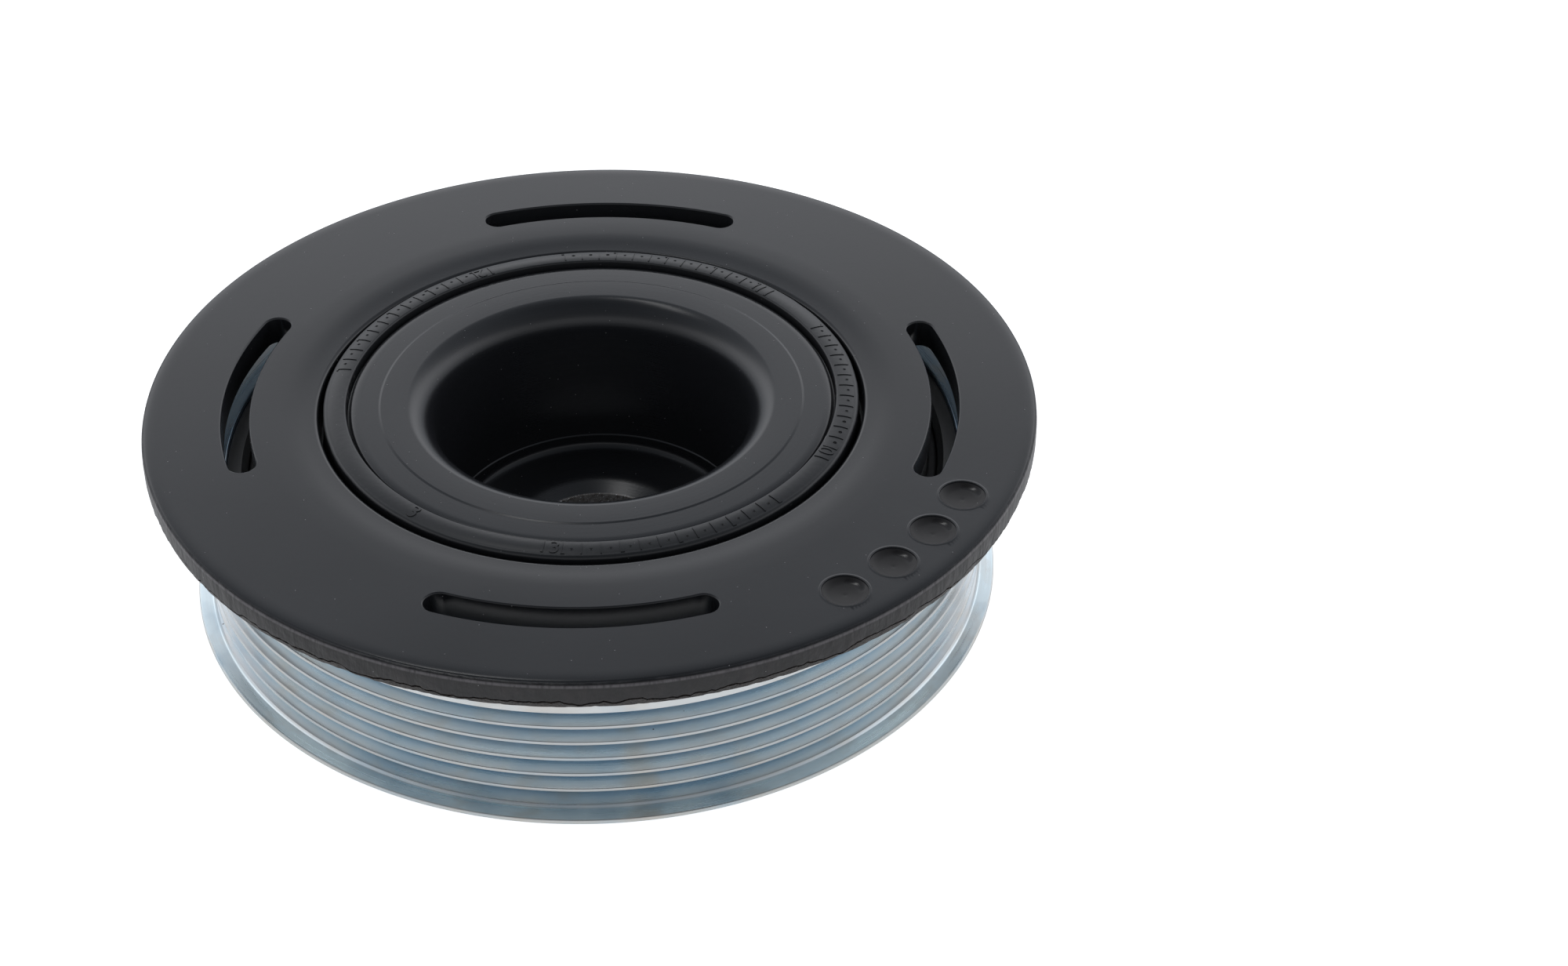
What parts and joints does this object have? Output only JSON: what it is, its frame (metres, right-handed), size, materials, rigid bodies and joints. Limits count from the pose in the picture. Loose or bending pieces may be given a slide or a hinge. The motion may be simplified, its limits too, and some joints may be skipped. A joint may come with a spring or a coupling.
{
  "type": "harmonic balancer",
  "caption": "Round crankshaft balancer: black hub in a moulded rubber ring, slotted flat cover plate, zinc-plated belt pulley with a sprung inertia ring inside.",
  "frame": {"origin": "on the axis, in the hub's rear face, which is the lowest face", "axes": "+Z along the axis towards the front (the cover plate side), +X and +Y through the middles of two of the plate's curved slots"},
  "size_m": [0.165, 0.165, 0.0456],
  "materials": {
    "hub_black": "black coating on a turned casting, satin, fine turning lines on the face",
    "plate_black": "thin black coating on blanked steel sheet, satin, with pale specks of dust",
    "rubber": "moulded black rubber, soft sheen",
    "zinc_steel": "bluish zinc plating over turned steel",
    "ring_iron": "black primed casting",
    "bush_plastic": "dark grey moulded plastic",
    "sleeve_steel": "plain turned steel"
  },
  "bodies": {
    "root": {"hub": "hub_black", "damper_rubber": "rubber", "cover_plate": "plate_black", "inertia_ring": "ring_iron", "belt_pulley": "zinc_steel", "bearing_bush": "bush_plastic", "thrust_ring": "bush_plastic", "coupling_rubber": "rubber", "coupling_sleeve": "sleeve_steel"}
  },
  "joints": []
}
